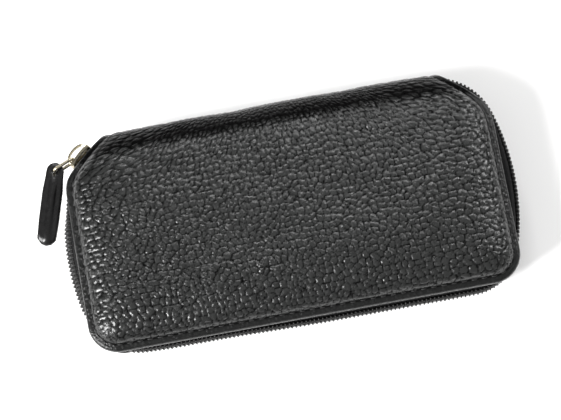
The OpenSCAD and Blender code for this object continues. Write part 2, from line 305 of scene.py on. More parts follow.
def woven_material(name, colour, scale, sheen=0.2, rough=0.75, depth=0.00012):
    m, nt, bsdf = new_material(name)
    uv = node(nt, "ShaderNodeUVMap", uv_map="UVMap")
    wx = node(nt, "ShaderNodeTexWave", bands_direction="X", in_Scale=scale, in_Distortion=0.3)
    wy = node(nt, "ShaderNodeTexWave", bands_direction="Y", in_Scale=scale * 0.8, in_Distortion=0.3)
    noise = node(nt, "ShaderNodeTexNoise", in_Scale=40.0, in_Detail=4.0)
    for t in (wx, wy, noise):
        nt.links.new(uv.outputs[0], t.inputs["Vector"])
    mix = node(nt, "ShaderNodeMath", operation="MAXIMUM")
    nt.links.new(wx.outputs["Fac"], mix.inputs[0])
    nt.links.new(wy.outputs["Fac"], mix.inputs[1])
    nt.links.new(bump(nt, mix.outputs[0], 0.7, depth), bsdf.inputs["Normal"])
    dark = tuple(c * 0.6 for c in colour) + (1,)
    lite = tuple(min(1, c * 1.35) for c in colour) + (1,)
    base = ramp(nt, [(0.3, dark), (0.7, lite)], noise.outputs[0])
    nt.links.new(base.outputs[0], bsdf.inputs["Base Color"])
    r = ramp(nt, [(0.3, grey(rough - 0.08)), (0.7, grey(rough + 0.08))], noise.outputs[0])
    nt.links.new(r.outputs[0], bsdf.inputs["Roughness"])
    bsdf.inputs["Sheen Weight"].default_value = sheen
    bsdf.inputs["Sheen Roughness"].default_value = 0.5
    return m


def object_material(name, low, high, rough, scale, metal=0.0, depth=0.00005):
    """For pieces with no UV map: colour, roughness and fine relief from the object's own space."""
    m, nt, bsdf = new_material(name)
    at = node(nt, "ShaderNodeTexCoord")
    noise = node(nt, "ShaderNodeTexNoise", in_Scale=scale, in_Detail=5.0)
    wide = node(nt, "ShaderNodeTexNoise", in_Scale=scale * 0.12, in_Detail=2.0)
    for t in (noise, wide):
        nt.links.new(at.outputs["Object"], t.inputs["Vector"])
    base = ramp(nt, [(0.3, (*low, 1)), (0.7, (*high, 1))], wide.outputs[0])
    r = ramp(nt, [(0.3, grey(rough[0])), (0.7, grey(rough[1]))], noise.outputs[0])
    nt.links.new(base.outputs[0], bsdf.inputs["Base Color"])
    nt.links.new(r.outputs[0], bsdf.inputs["Roughness"])
    nt.links.new(bump(nt, noise.outputs[0], 0.4, depth), bsdf.inputs["Normal"])
    bsdf.inputs["Metallic"].default_value = metal
    return m


LEATHER_MAT = leather_material("pebbled_leather")
PULL_MAT = leather_material("smooth_pull_leather", smooth_hide=True)
TAPE_MAT = woven_material("zip_tape_weave", (0.003, 0.003, 0.0033), 160, sheen=0.0, rough=0.74, depth=0.00005)
TAPE_MAT.node_tree.nodes["Principled BSDF"].inputs["Specular IOR Level"].default_value = 0.07
LINING_MAT = woven_material("lining_weave", (0.055, 0.055, 0.06), 110, sheen=0.5, rough=0.85)
DIVIDER_MAT = woven_material("divider_weave", (0.075, 0.075, 0.08), 110, sheen=0.5, rough=0.85)
BIND_MAT = woven_material("binding_rib", (0.015, 0.015, 0.016), 90, sheen=0.15, rough=0.7, depth=0.0002)
COIL_MAT = object_material("nylon_coil", (0.003, 0.003, 0.003), (0.006, 0.0058, 0.0055), (0.3, 0.42), 900)
COIL_MAT.node_tree.nodes["Principled BSDF"].inputs["Specular IOR Level"].default_value = 0.3
THREAD_MAT = object_material("waxed_thread", (0.005, 0.005, 0.005), (0.011, 0.011, 0.011), (0.45, 0.6), 2400,
                             depth=0.0001)
METAL_MAT = object_material("pale_nickel", (0.44, 0.40, 0.30), (0.56, 0.51, 0.39), (0.2, 0.36), 700,
                            metal=1.0, depth=0.00001)
FOAM_MAT = object_material("padding_foam", (0.3, 0.3, 0.31), (0.38, 0.38, 0.39), (0.85, 0.95), 1200,
                           depth=0.0003)
BOARD_MAT = object_material("fibre_board", (0.36, 0.34, 0.31), (0.46, 0.44, 0.40), (0.7, 0.85), 800,
                            depth=0.0001)

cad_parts["divider_core"].data.materials.clear()
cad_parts["divider_core"].data.materials.append(BOARD_MAT)


# ---------------------------------------------------------------- the leather's shape
class Rim:
    """How a layer climbs from its edge: inset from the leather's edge against height over the middle plane."""

    def __init__(self, points):
        self.line = soft_curve(points, 90)
        self.s = lengths(self.line)
        self.len = self.s[-1]
        self.d0, self.d1 = self.line[0, 0], self.line[-1, 0]
        self.r = self.line[-1, 1]
        self.across = 2 * (self.len - self.d1) + 2 * HALF_LEN + LEFT_MORE
        self.v1 = self.len - self.d1 + SPINE_Y - FRONT_Y
        self.v2 = self.v1 + np.pi * self.r
        self.total = self.v2 + self.v1

    def inset(self, s):
        return np.where(s < self.len, np.interp(s, self.s, self.line[:, 0]), s - self.len + self.d1)

    def height(self, d):
        return np.interp(d, self.line[:, 0], self.line[:, 1])


# The hide: a turned edge, a flat stitched band, the seam's groove, then the rise over the padding.
HIDE = Rim([
    (0.0, EDGE_H), (0.05, 9.9), (0.35, 10.6), (0.9, 10.9), (1.5, 11.1), (2.0, 11.35), (2.3, 11.65),
    (2.8, 12.7), (3.7, 14.0), (5.3, 15.35), (8.0, 16.5), (11.5, 17.25), (16.5, 17.75), (RIM_W, 18.0),
])


def edge_x(y, side, inset=0.0):
    """How far the leather reaches along X at y: straight sides, then slanted to the spine's ends."""
    k = np.where(side > 0, 2.2, 1.8) + 0.28 * np.minimum(inset, RIM_W)
    reach = np.where(side > 0, HALF_LEN, HALF_LEN + LEFT_MORE)
    slope = (reach - np.where(side > 0, SPINE_END_R, SPINE_END_L)) / SPINE_R
    return reach - k * np.log1p(np.exp((y - SPINE_Y) * slope / k))


def cut_back(x, y):
    """The back half is cut a little shorter at the front and its corners, so that the zip stands proud of it."""
    front_cut, corner_cut = 2.6, 1.3
    dy = front_cut * np.clip((20.0 - y) / 64.0, 0, 1)
    near_side, near_front = np.clip((np.abs(x) - 55.0) / 30.0, 0, 1), np.clip((10.0 - y) / 30.0, 0, 1)
    dx = -np.sign(x) * corner_cut * near_side * near_front
    return dx, dy


def layer_point(rim, u, v):
    """Where a layer's point is, at u across and v from the front edge over the spine to the back's edge.

    Also gives its distance from the nearest edge and its angle round the spine.
    """
    off_edge = 99.0
    u, v = np.broadcast_arrays(np.asarray(u, float), np.asarray(v, float))
    from_left, from_right = rim.inset(u), rim.inset(rim.across - u)
    side = np.where(from_left <= from_right, -1.0, 1.0)
    dc = np.minimum(from_left, from_right)
    back = v > rim.v2
    vv = np.where(back, rim.total - v, v)
    on_spine = (v > rim.v1) & ~back
    a = np.where(on_spine, np.pi / 2 - (v - rim.v1) / rim.r, np.where(back, -np.pi / 2, np.pi / 2))
    dr = np.where(on_spine, off_edge, rim.inset(vv))
    y = np.where(on_spine, SPINE_Y + rim.r * np.cos(a), FRONT_Y + dr)
    y_edge = np.where(on_spine, SPINE_Y + SPINE_R * np.cos(a), y)

    def line(sd, inset):
        e = 0.05
        slope = (edge_x(y_edge + e, sd, inset) - edge_x(y_edge - e, sd, inset)) / (2 * e)
        return edge_x(y_edge, sd, inset) - inset * np.sqrt(1 + slope**2)

    d1 = rim.d1 + 0 * dc
    t = (from_left - rim.d1) / (2 * HALF_LEN + LEFT_MORE - 2 * rim.d1)
    x = np.where(dc < rim.d1, side * line(side, dc), -line(-1.0, d1) * (1 - t) + line(1.0, d1) * t)
    # Round the front corners: square rings turn into quarter circles.
    qx, qy = CORNER_R - dc, CORNER_R - dr
    corner = (qx > 0) & (qy > 0)
    m, n = np.maximum(qx, qy), np.maximum(np.hypot(qx, qy), 1e-6)
    reach = np.where(side > 0, HALF_LEN, HALF_LEN + LEFT_MORE)
    x = np.where(corner, side * (reach - CORNER_R + qx * m / n), x)
    y = np.where(corner, FRONT_Y + CORNER_R - qy * m / n, y)
    dx, dy = cut_back(x, y)
    x, y = np.where(back, x + dx, x), np.where(back, y + dy, y)
    d = np.minimum(dc, dr)
    h = rim.height(np.minimum(d, rim.d1))
    z = np.where(on_spine, np.sin(a) * h, np.where(back, -h, h))
    return np.stack([x, y, MID + z], -1), d, a


def normals(p):
    du = np.gradient(p, axis=1)
    dv = np.gradient(p, axis=0)
    n = np.cross(du, dv)
    return n / np.maximum(np.linalg.norm(n, axis=2)[..., None], 1e-9)


def pebbles(u, v, d):
    """Relief of the grain, in mm, and the painted shade of each point: strongest deep in a crease, a middle value
    on the stitched band.
    """
    wu = u + 0.8 * value_noise(u, v, 7.0, 11) + 0.3 * value_noise(u, v, 2.6, 12)
    wv = v + 0.8 * value_noise(u, v, 7.0, 13) + 0.3 * value_noise(u, v, 2.6, 14)
    # The hide is drawn out toward its right end, which makes the cells there longer.
    long = np.linspace(0, 260, 521)
    drawn = np.cumsum(1 - 0.26 * (1 - smoothstep(long, 8.0, 50.0)) - 0.3 * smoothstep(long, 110.0, 190.0)) * 0.5
    au, av = np.interp(wu, long, drawn) + 0.22 * wv, wv
    f1, f2, who = cells(au, av, 2.55, 3)
    f3, f4, small = cells(wu, wv, 1.15, 5)
    body = smoothstep(f2 - f1, 0.02, 0.36)
    grains = smoothstep(f4 - f3, 0.0, 0.4)
    dome = 1 - np.clip(f1, 0, 1) ** 2
    relief = body * (0.5 + 0.34 * dome + 0.3 * (who - 0.5)) + (1 - body) * 0.4 * grains * small + 0.16 * grains
    band = 0.1 + 0.9 * smoothstep(d, BAND, BAND + 1.2)
    # Painted shade: the lower a point lies in the grain, the darker and less shiny it is painted; the stitched band
    # gets a middle value.
    depth = np.clip(1.12 - relief * 1.6, 0, 1)
    return (relief - 0.5) * 0.4 * band, np.where(d < BAND, 0.45 + 0.1 * depth, depth)


def make_leather():
    rim = HIDE
    step_u, step_v, step_b = 0.5, 0.5, 1.0
    k = 3  # the inner face has every third point of the outer one
    nu = int(round(rim.across / step_u / k)) * k + 1
    nf = int(round(rim.v2 / step_v / k)) * k
    nb = int(round((rim.total - rim.v2) / step_b / k)) * k
    u = np.linspace(0, rim.across, nu)
    v = np.concatenate([np.linspace(0, rim.v2, nf + 1)[:-1], np.linspace(rim.v2, rim.total, nb + 1)])
    gu, gv = np.meshgrid(u, v)
    p, d, a = layer_point(rim, gu, gv)
    front = (gv < rim.v1).astype(float)
    # The front swells upward round a point a little in front of its middle.
    swell, half_x, half_y, mid_y = 1.0, 84, 37, -8
    pillow = (np.clip(1 - (p[..., 0] / half_x) ** 2, 0, 1)
              * np.clip(1 - ((p[..., 1] - mid_y) / half_y) ** 2, 0, 1))
    p[..., 2] += front * (swell * pillow)
    n = normals(p)
    inside = smoothstep(d, 4.5, 14.0)
    wave = 0.4 * value_noise(gu, gv, 24.0, 21) + 0.2 * value_noise(gu, gv, 11.0, 22)
    groove = -0.38 * np.exp(-(((d - BAND) / 0.38) ** 2))
    roll = 0.1 * np.exp(-(((d - 0.9) / 0.5) ** 2))
    grain, painted_shade = pebbles(gu, gv, d)
    move = inside * wave * (1 - 0.7 * (gv > rim.v2)) + groove + roll + grain
    flat = (gv > rim.v2) & (d > 9)
    move = np.where(flat, np.minimum(move, 0.02), move)
    outer = p + n * move[..., None]
    outer[..., 2] = np.maximum(outer[..., 2], 0.0)
    # Painted shade along the seam's groove.
    painted_shade = np.maximum(painted_shade, 0.95 * np.exp(-(((d - BAND) / 0.42) ** 2)))
    # A look matched to the photo, not a shape: the leather is darker and duller where it turns over the spine.
    # Painted shade over the spine's turn: darker colour and less shine, added on top of the crease shade.
    deg = np.degrees(a)
    painted_spine_shade = smoothstep(deg, 16, 34) * (1 - smoothstep(deg, 60, 78)) * (gv > rim.v1) * (gv < rim.v2)
    painted_shade = np.clip(painted_shade + 0.85 * painted_spine_shade, 0, 1)
    inner = (p - n * LEATHER)[::k, ::k]
    rows, cols = outer.shape[:2]
    r2, c2 = inner.shape[:2]
    m = rows * cols
    faces = grid_faces(rows, cols) + grid_faces(r2, c2, m, flip=True)

    def rim_strip(outer_idx, inner_idx, flip):
        for j in range(len(inner_idx) - 1):
            o = outer_idx[j * k:j * k + k + 1]
            i0, i1 = inner_idx[j], inner_idx[j + 1]
            tris = [(o[0], i0, o[1]), (o[1], i0, o[2]), (o[2], i0, i1), (o[2], i1, o[3])]
            for t in tris:
                faces.append(t[::-1] if flip else t)

    oi = np.arange(m).reshape(rows, cols)
    ii = m + np.arange(r2 * c2).reshape(r2, c2)
    rim_strip(oi[0].tolist(), ii[0].tolist(), False)
    rim_strip(oi[-1].tolist(), ii[-1].tolist(), True)
    rim_strip(oi[:, 0].tolist(), ii[:, 0].tolist(), True)
    rim_strip(oi[:, -1].tolist(), ii[:, -1].tolist(), False)
    flat_uv = np.stack([gu, gv], -1)
    uv = np.concatenate([flat_uv.reshape(-1, 2), flat_uv[::k, ::k].reshape(-1, 2)])
    verts = np.concatenate([outer.reshape(-1, 3), inner.reshape(-1, 3)])
    ob = mesh_object("leather_cover", verts, faces, LEATHER_MAT, uv=uv)
    # The painted shade is stored on the mesh for the leather's material; the inner face gets a fixed middle value.
    deep = ob.data.attributes.new("painted_shade", "FLOAT", "POINT")
    deep.data.foreach_set("value", np.concatenate([painted_shade.ravel(), np.full(r2 * c2, 0.3)]).astype(np.float32))
    return ob


leather = make_leather()
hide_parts("front_cover", "spine_cover", "back_cover")
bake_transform(leather)


# ---------------------------------------------------------------- edge seam
def seam_line(front):
    """The seam from one spine end round the front to the other, as points and outward surface normals."""
    inset_s = np.interp(BAND, HIDE.line[:, 0], HIDE.s)
    wide = HIDE.across
    side_v = np.linspace(HIDE.v1 + np.pi * SPINE_R * 0.47, inset_s, 260)
    line = [(inset_s, t) for t in side_v]
    line += [(t, inset_s) for t in np.linspace(inset_s, wide - inset_s, 400)]
    line += [(wide - inset_s, t) for t in side_v[::-1]]
    uvs = np.array(line)
    if not front:
        uvs[:, 1] = HIDE.total - uvs[:, 1]
    e = 0.3
    at_uv = lambda du, dv: layer_point(HIDE, uvs[:, 0] + du, uvs[:, 1] + dv)[0]
    p = at_uv(0, 0)
    pu, pv = at_uv(e, 0) - at_uv(-e, 0), at_uv(0, e) - at_uv(0, -e)
    n = np.cross(pu, pv)
    n /= np.linalg.norm(n, axis=1)[:, None]
    s = lengths(p)
    at = np.arange(0, s[-1], 0.25)
    q = np.stack([np.interp(at, s, p[:, i]) for i in range(3)], 1)
    m = np.stack([np.interp(at, s, n[:, i]) for i in range(3)], 1)
    return at, q, m


def make_seam(name, front, cad):
    """A row of stitches that lie in the seam's groove and dive into the leather at their ends."""
    at, q, m = seam_line(front)
    parts = []
    first, pitch, stitch, spare, thread_r = 1.5, 4.0, 2.7, 3.5, 0.27
    for s0 in np.arange(first, at[-1] - spare, pitch):
        pick = (at >= s0) & (at <= s0 + stitch)
        p, n = q[pick][::2], m[pick][::2]
        if len(p) < 4:
            continue
        t = np.linspace(-1, 1, len(p))
        sink = -0.28 - 0.42 * np.abs(t) ** 3
        parts.append(tube(p + n * sink[:, None], thread_r, sides=7))
    ob = mesh_object(name, *joined(parts), THREAD_MAT)
    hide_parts(cad)
    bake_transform(ob)
    return ob


make_seam("front_seam_stitches", True, "front_edge_stitching")
make_seam("back_seam_stitches", False, "back_edge_stitching")


# ---------------------------------------------------------------- zip
# The zip's right half, seen from above: three arcs, then a straight run along the front.
TOP_C, TOP_R = np.array([62.0, 19.2]), 23.3
SIDE_C, SIDE_R = np.array([-6.6, -1.5]), 95.0
LOW_C, LOW_R = np.array([65.6, -25.2]), 19.0
TOP_TO_SIDE, SIDE_TO_LOW = 16.8, -18.2  # degrees at which one arc hands over to the next
ZIP_Y = -44.2
ZIP_PITCH = 1.65
LEAN = math.radians(26)  # how far the zip leans along the left side
CHAIN_OUT = 0.15  # the teeth's shift out of the zip's line


def zip_stations(step):
    """The zip's right half from the spine's end to the front's middle.

    Each station is a point of the zip, its way out, the leather edge it hangs from, that edge's way out and height.
    """
    out = []

    def arc(c, r, a0, a1, edge):
        n = max(3, int(abs(math.radians(a1 - a0)) * r / step))
        for i in range(n):
            t = i / n
            a = math.radians(a0 + (a1 - a0) * t)
            d = np.array([math.cos(a), math.sin(a)])
            out.append((c + r * d, d, *edge(t)))

    def hung(y):
        x = lambda yy: float(edge_x(np.array(float(yy)), np.array(1.0)))
        n = np.array([1.0, (x(y - 0.1) - x(y + 0.1)) / 0.2])
        over = min(max((y - SPINE_Y) / SPINE_R, 0.0), 1.0)
        return np.array([x(y), y]), n / np.linalg.norm(n), EDGE_H * math.sqrt(1 - over**2)

    def top(t):
        return hung(43.8 - 16.8 * t)

    def side(t):
        return hung(SPINE_Y - (SPINE_Y - FRONT_Y - CORNER_R) * t)

    def corner(t):
        a = -math.pi / 2 * t
        d = np.array([math.cos(a), math.sin(a)])
        return np.array([HALF_LEN - CORNER_R, FRONT_Y + CORNER_R]) + CORNER_R * d, d, EDGE_H

    arc(TOP_C, TOP_R, 90, TOP_TO_SIDE, top)
    arc(SIDE_C, SIDE_R, TOP_TO_SIDE, SIDE_TO_LOW, side)
    arc(LOW_C, LOW_R, SIDE_TO_LOW, -90, corner)
    n = int(LOW_C[0] / step)
    for i in range(n + 1):
        t = 1 - i / n
        out.append((np.array([LOW_C[0] * t, ZIP_Y]), np.array([0.0, -1.0]),
                    np.array([(HALF_LEN - CORNER_R) * t, FRONT_Y]), np.array([0.0, -1.0]), EDGE_H))
    return out


def zip_path(step):
    """Arrays for the whole zip, from its right end round the front to its left end."""
    half = zip_stations(step)
    flip = np.array([-1.0, 1.0])
    full = half + [(a * flip, b * flip, c * flip, d * flip, h) for a, b, c, d, h in half[-2::-1]]
    b, nb, a, na, top = [np.array([s[i] for s in full], float) for i in range(5)]
    # Along the front it is drawn in a little, most at the left corner.
    low = 1 - smoothstep(b[:, 1], -36.0, -18.0)
    b[:, 1] += (0.8 * smoothstep(-b[:, 0], -10.0, 40.0) + 0.6 * smoothstep(-b[:, 0], 54.0, 74.0)) * low
    return [b, nb, a, na, top]


def chain_tilt(b):
    """How far the zip leans toward the front face along the left side, as an angle."""
    lean = LEAN * smoothstep(b[:, 1], -36.0, -22.0) * (1 - smoothstep(b[:, 1], 8.0, 20.5))
    return np.where(b[:, 0] < 0, lean, 0.0)


def chain_shift(tilt):
    """Leaning, the zip also sits closer to the leather's edge."""
    return 0.25 * tilt / LEAN


def make_tape(name, sign, body, cad):
    """The woven band between the leather's edge and one row of teeth."""
    b, nb, a, na, top = zip_path(1.2)
    if sign < 0:
        a = a + np.stack(cut_back(a[:, 0], a[:, 1]), 1)
    left = b[:, 0] < 0
    ang = np.degrees(np.arctan2(b[:, 1] - TOP_C[1], -(b[:, 0] + TOP_C[0])))
    # Past the slider the two rows are parted, so the tape stops short of the middle there.
    near = left & (b[:, 1] > 33) & (ang > 0)
    low = np.where(near, np.clip(1.0 + (ang - 37) / 18 * 3.9, 1.0, 5.2), 1.0)
    low = np.minimum(low, top - 1.0)
    rows = 15
    tilt = chain_tilt(b)
    turn_n = -0.5 * (np.cos(tilt) - 1) - sign * low * np.sin(tilt) + chain_shift(tilt)
    turn_z = sign * low * (np.cos(tilt) - 1) - 0.5 * np.sin(tilt)
    outer, inner = [], []
    for j in range(rows):
        q = j / (rows - 1)
        s = math.sin(q * math.pi / 2) ** 0.85
        away = np.interp(q, [0, 0.3, 0.6, 1], [0, 0.35, 0.35, 0.25])
        normal = na * (1 - s) + nb * s
        normal /= np.linalg.norm(normal, axis=1)[:, None]
        w = float(smoothstep(np.array(q)))
        p = (a - 0.35 * na) * (1 - s) + (b - 0.75 * nb) * s + normal * away + nb * (turn_n * w)[:, None]
        z = (top + 0.25) * (1 - q**1.5) + low * q**1.5
        ridge = 0.12 * math.exp(-(((q - 0.62) / 0.05) ** 2))
        outer.append(np.column_stack([p + normal * ridge, MID + sign * z + turn_z * w]))
        inner.append(np.column_stack([p - normal * 0.6, MID + sign * z + turn_z * w]))
    outer, inner = np.array(outer), np.array(inner)
    if sign < 0:
        outer, inner = outer[::-1], inner[::-1]
    s = lengths(b)
    q = np.linspace(0, 9, rows)
    uv = np.stack(np.broadcast_arrays(s[None, :], q[:, None]), -1).reshape(-1, 2)
    verts, faces = shell(outer, inner)
    ob = mesh_object(name, verts, faces, TAPE_MAT, uv=uv)
    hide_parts(cad)
    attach(ob, body)
    return ob


make_tape("front_tape", 1, "front_half", "front_zip_tape")
make_tape("back_tape", -1, "back_half", "back_zip_tape")


def make_coil(name, sign, body, cad):
    """A row of wire loops; the other half's loops sit between them."""
    b, nb, _, _, _ = zip_path(0.3)
    s = lengths(b)
    ang = np.degrees(np.arctan2(b[:, 1] - TOP_C[1], b[:, 0] + TOP_C[0]))
    last_deg, n_loop = 144.5, 15
    stop = s[np.where((b[:, 0] < 0) & (b[:, 1] > 30) & (ang < last_deg))[0][0]]
    start = 1.2 + (0 if sign > 0 else ZIP_PITCH / 2)
    loops = []
    # One loop in its own frame: out across the zip, along it, and up.
    shape = [(-0.5, -0.3, 3.15), (0.25, -0.26, 3.2), (0.72, -0.2, 2.9), (0.86, -0.1, 2.1),
             (0.9, -0.04, 1.2), (0.86, 0.0, 0.4), (0.6, 0.05, -0.12), (0.0, 0.1, -0.34),
             (-0.6, 0.16, -0.12), (-0.8, 0.24, 0.6), (-0.8, 0.34, 1.8), (-0.7, 0.42, 2.8)]
    shape = soft_curve(shape, n_loop)
    tilt = chain_tilt(b)
    thick = np.interp(np.arange(n_loop), [0, 5, 8, 11, 14], [0.36, 0.38, 0.47, 0.36, 0.3])
    for s0 in np.arange(start, stop, ZIP_PITCH):
        c = np.array([np.interp(s0, s, b[:, 0]), np.interp(s0, s, b[:, 1])])
        nn = np.array([np.interp(s0, s, nb[:, 0]), np.interp(s0, s, nb[:, 1])])
        nn /= np.linalg.norm(nn)
        tt = np.array([nn[1], -nn[0]])
        lean = np.interp(s0, s, tilt)
        out = shape[:, 0] * math.cos(lean) - sign * shape[:, 2] * math.sin(lean) + CHAIN_OUT + chain_shift(lean)
        up = sign * shape[:, 2] * math.cos(lean) + shape[:, 0] * math.sin(lean)
        pts = np.column_stack([
            c[0] + nn[0] * out + tt[0] * shape[:, 1],
            c[1] + nn[1] * out + tt[1] * shape[:, 1],
            MID + up,
        ])
        loops.append(tube(pts, thick, sides=8, up=(tt[0], tt[1], 0.001)))
    keep = (s > 0.8) & (s < stop)

    def cord(off, high, radius, every=3, sides=8):
        """A cord sewn in along the row, inside the loops."""
        n2 = off * np.cos(tilt) - sign * high * np.sin(tilt) + CHAIN_OUT + chain_shift(tilt)
        z2 = sign * high * np.cos(tilt) + off * np.sin(tilt)
        line = np.column_stack([b + nb * n2[:, None], MID + z2])[keep][::every]
        loops.append(tube(line, radius, sides=sides))

    cord(0.05, 1.9, 0.62)
    cord(0.2, 0.75, 0.5)
    ob = mesh_object(name, *joined(loops), COIL_MAT)
    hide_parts(cad)
    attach(ob, body)
    return ob


make_coil("front_coil", 1, "front_half", "front_zip_coil")
make_coil("back_coil", -1, "back_half", "back_zip_coil")


# ---------------------------------------------------------------- slider, link and pull
# The zip's first bend is the right half's top arc, mirrored.
BEND, BEND_R = TOP_C * np.array([-1.0, 1.0]), TOP_R
SLIDER_AT = math.radians(131)


def bent(s, n, z):
    """Slider space: s along the zip, n out of the case, z across the zip."""
    s, n, z = np.broadcast_arrays(np.asarray(s, float), np.asarray(n, float), np.asarray(z, float))
    a = SLIDER_AT + s / 24.0
    r = BEND_R + n
    return np.stack([BEND[0] + r * np.cos(a), BEND[1] + r * np.sin(a), MID + z], -1)


def blade(n_out, n_in, width, flange):
    """One of the slider's two plates, with flanges turned in along its sides."""
    s0, s1 = -5.0, 5.4
    s = np.linspace(s0, s1, 33)
    w = np.interp(s, [s0, s0 + 2.5, s1 - 3, s1], width)
    end = 0.75
    past = np.clip((np.abs(s - (s0 + s1) / 2) - ((s1 - s0) / 2 - end)) / end, 0, 0.97)
    w = w * np.sqrt(np.clip(1 - past**2, 0, 1))
    q = np.array([-1, -0.99, -0.96, -0.88, -0.6, -0.2, 0.2, 0.6, 0.88, 0.96, 0.99, 1])
    drop = np.where(np.abs(q) > 0.97, 1.0, np.where(np.abs(q) > 0.9, 0.35, np.where(np.abs(q) > 0.8, 0.05, 0.0)))
    outer = bent(s[:, None], n_out - flange * drop[None, :], w[:, None] * q[None, :])
    drop_in = np.where(np.abs(q) > 0.97, 1.0, drop * 0.6)
    inner = bent(s[:, None], n_in - flange * drop_in[None, :], w[:, None] * q[None, :] * 0.9)
    return shell(outer, inner)


def strap(path, half_w, thick, sides=12):
    """A flat band bent along path in slider space, with rounded edges."""
    m = 30
    p = soft_curve(path, m)
    t = np.gradient(p, axis=0)
    t /= np.linalg.norm(t, axis=1)[:, None]
    nn = np.column_stack([-t[:, 1], t[:, 0]])
    a = np.linspace(0, 2 * np.pi, sides, endpoint=False)
    ca, sa = np.cos(a), np.sin(a)
    cx = np.sign(ca) * np.abs(ca) ** 0.55
    cy = np.sign(sa) * np.abs(sa) ** 0.55
    hw = np.interp(np.linspace(0, 1, m), [0, 0.25, 0.5, 0.75, 1], half_w)
    s = p[:, 0][:, None] + nn[:, 0][:, None] * cy[None, :] * thick / 2
    n = p[:, 1][:, None] + nn[:, 1][:, None] * cy[None, :] * thick / 2
    z = hw[:, None] * cx[None, :]
    v = bent(s, n, z).reshape(-1, 3)
    faces = grid_faces(m, sides, wrap=True)
    faces.append(tuple(range(sides))[::-1])
    faces.append(tuple((m - 1) * sides + i for i in range(sides)))
    return v, faces


def block(s0, s1, n0, n1, half_z):
    """The post that joins the slider's plates."""
    s = np.linspace(s0, s1, 5)[:, None]
    z = np.array([-half_z, -half_z / 2, 0, half_z / 2, half_z])[None, :]
    return shell(bent(s, n1, z), bent(s, n0, z))


slider_parts = [
    blade(3.1, 2.35, [4.3, 4.35, 3.7, 3.5], 0.9),
    blade(-2.65, -3.4, [3.6, 3.6, 3.2, 3.0], 0.0),
    block(-5.0, -3.4, -2.9, 2.6, 1.2),
    strap([(-3.5, 2.4), (-3.55, 3.9), (-3.0, 5.2), (-1.2, 5.95), (1.4, 6.0), (3.3, 5.4), (4.1, 4.0), (4.0, 2.4)],
          [1.5, 1.55, 1.6, 1.45, 1.3], 0.85),
]
slider = mesh_object("slider_casting", *joined(slider_parts), METAL_MAT)
bev = slider.modifiers.new("edge", "BEVEL")
bev.width, bev.segments, bev.limit_method, bev.angle_limit = 0.00016, 2, "ANGLE", math.radians(38)
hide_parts("slider_body")
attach(slider, "slider")



def heading(degrees):
    """The direction in the zip's plane at an angle from +X."""
    return np.array([math.cos(math.radians(degrees)), math.sin(math.radians(degrees))])


LINK_BASE = BEND + (BEND_R + 3.8) * heading(137.5)
LINK_DIR = heading(203)
LINK_LEN, LINK_H, LINK_BEND_R, WIRE_R = 8.5, 3.0, 1.3, 0.7
LINK_TIP = LINK_BASE + LINK_DIR * LINK_LEN


def rounded_loop(length, half_h, r, n=9):
    """A rounded rectangle in (along, up) that passes through both bars' lines."""
    pts = []
    right, left, high, low = length - r, r, half_h - r, -half_h + r
    for cx, cy, a0 in ((right, high, 0), (left, high, 90), (left, low, 180), (right, low, 270)):
        for i in range(n):
            a = math.radians(a0 + 90 * i / (n - 1))
            pts.append((cx + r * math.cos(a), cy + r * math.sin(a)))
    return np.array(pts)


loop = rounded_loop(LINK_LEN, LINK_H, LINK_BEND_R)
wire = np.column_stack([LINK_BASE + LINK_DIR * loop[:, :1], MID + loop[:, 1]])
link_mesh = tube(wire, WIRE_R, sides=14, closed=True, up=(-LINK_DIR[1], LINK_DIR[0], 0.0))
link = mesh_object("pull_link_wire", *link_mesh, METAL_MAT)
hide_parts("pull_link")
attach(link, "link")

TAB_DIR = heading(254)
TAB_SIDE = np.array([-TAB_DIR[1], TAB_DIR[0]])


